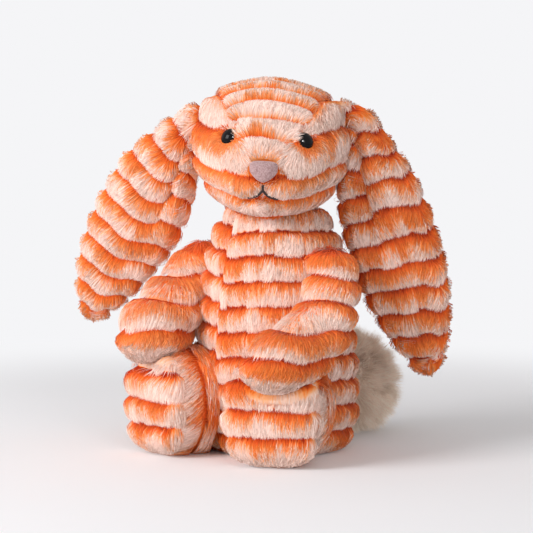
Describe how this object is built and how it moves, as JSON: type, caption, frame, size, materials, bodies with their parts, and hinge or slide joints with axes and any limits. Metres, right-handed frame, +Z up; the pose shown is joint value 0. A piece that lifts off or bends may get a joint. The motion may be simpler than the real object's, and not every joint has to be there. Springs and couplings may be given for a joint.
{
  "type": "plush rabbit",
  "caption": "Sitting plush rabbit with long hanging ears, striped row-cut pile, splayed legs with soles and a fluffy tail; neck, ears, arms, legs and tail move.",
  "frame": {"origin": "middle of the flat seat under the body, on the surface it sits on", "axes": "+Z up; the body faces -Y, and +X is the rabbit's own left side"},
  "size_m": [0.1887, 0.1617, 0.1878],
  "materials": {
    "striped_plush": "matte",
    "tail_pile": "matte",
    "fibre": "matte",
    "pouch_cloth": "matte",
    "pellet_plastic": "matte",
    "seam_thread": "matte",
    "eye_black": "gloss",
    "washer_plastic": "satin",
    "nose_suede": "matte",
    "mouth_thread": "matte"
  },
  "bodies": {
    "body": {"body_skin": "striped_plush", "body_stuffing": "fibre", "pellet_pouch": "pouch_cloth", "pellets": "pellet_plastic"},
    "neck": {"neck_thread": "seam_thread"},
    "head": {"head_skin": "striped_plush", "head_stuffing": "fibre", "left_eye": "eye_black", "right_eye": "eye_black", "left_eye_washer": "washer_plastic", "right_eye_washer": "washer_plastic", "nose_pad": "nose_suede", "mouth_thread": "mouth_thread"},
    "left_ear": {"left_ear_front": "striped_plush", "left_ear_back": "striped_plush"},
    "right_ear": {"right_ear_front": "striped_plush", "right_ear_back": "striped_plush"},
    "left_arm": {"left_arm_skin": "striped_plush", "left_arm_stuffing": "fibre"},
    "right_arm": {"right_arm_skin": "striped_plush", "right_arm_stuffing": "fibre"},
    "left_leg": {"left_leg_skin": "striped_plush", "left_leg_stuffing": "fibre", "left_sole": "striped_plush"},
    "right_leg": {"right_leg_skin": "striped_plush", "right_leg_stuffing": "fibre", "right_sole": "striped_plush"},
    "tail": {"tail_skin": "tail_pile", "tail_stuffing": "fibre"}
  },
  "joints": [
    {"name": "neck_turn", "type": "hinge", "parent": "body", "child": "neck", "pos_m": [0, -0.002, 0.102], "axis": [0, 0, 1], "range_deg": [-22, 3], "stiffness_Nm_per_rad": 0.1},
    {"name": "head_nod", "type": "hinge", "parent": "neck", "child": "head", "pos_m": [0, -0.002, 0.102], "axis": [0.8572, 0.515, 0], "range_deg": [-10, 6], "stiffness_Nm_per_rad": 0.3},
    {"name": "left_ear_lift", "type": "hinge", "parent": "head", "child": "left_ear", "pos_m": [0.0253, 0.0166, 0.16985], "axis": [0.515, -0.8572, 0], "range_deg": [0, 70]},
    {"name": "right_ear_lift", "type": "hinge", "parent": "head", "child": "right_ear", "pos_m": [-0.02777, -0.01529, 0.1731], "axis": [-0.515, 0.8572, 0], "range_deg": [0, 70]},
    {"name": "left_arm_raise", "type": "hinge", "parent": "body", "child": "left_arm", "pos_m": [0.033, -0.004, 0.101], "axis": [-1, 0, 0], "range_deg": [0, 55]},
    {"name": "right_arm_raise", "type": "hinge", "parent": "body", "child": "right_arm", "pos_m": [-0.033, -0.004, 0.101], "axis": [-1, 0, 0], "range_deg": [0, 55]},
    {"name": "left_leg_swing", "type": "hinge", "parent": "body", "child": "left_leg", "pos_m": [0.016, -0.004, 0.026], "axis": [0.9336, 0.3584, 0], "range_deg": [0, 45]},
    {"name": "right_leg_swing", "type": "hinge", "parent": "body", "child": "right_leg", "pos_m": [-0.016, -0.004, 0.026], "axis": [0.9336, -0.3584, 0], "range_deg": [0, 45]},
    {"name": "tail_wag", "type": "hinge", "parent": "body", "child": "tail", "pos_m": [0, 0.042, 0.0255], "axis": [0, 0, 1], "range_deg": [-15, 15], "stiffness_Nm_per_rad": 0.02}
  ]
}
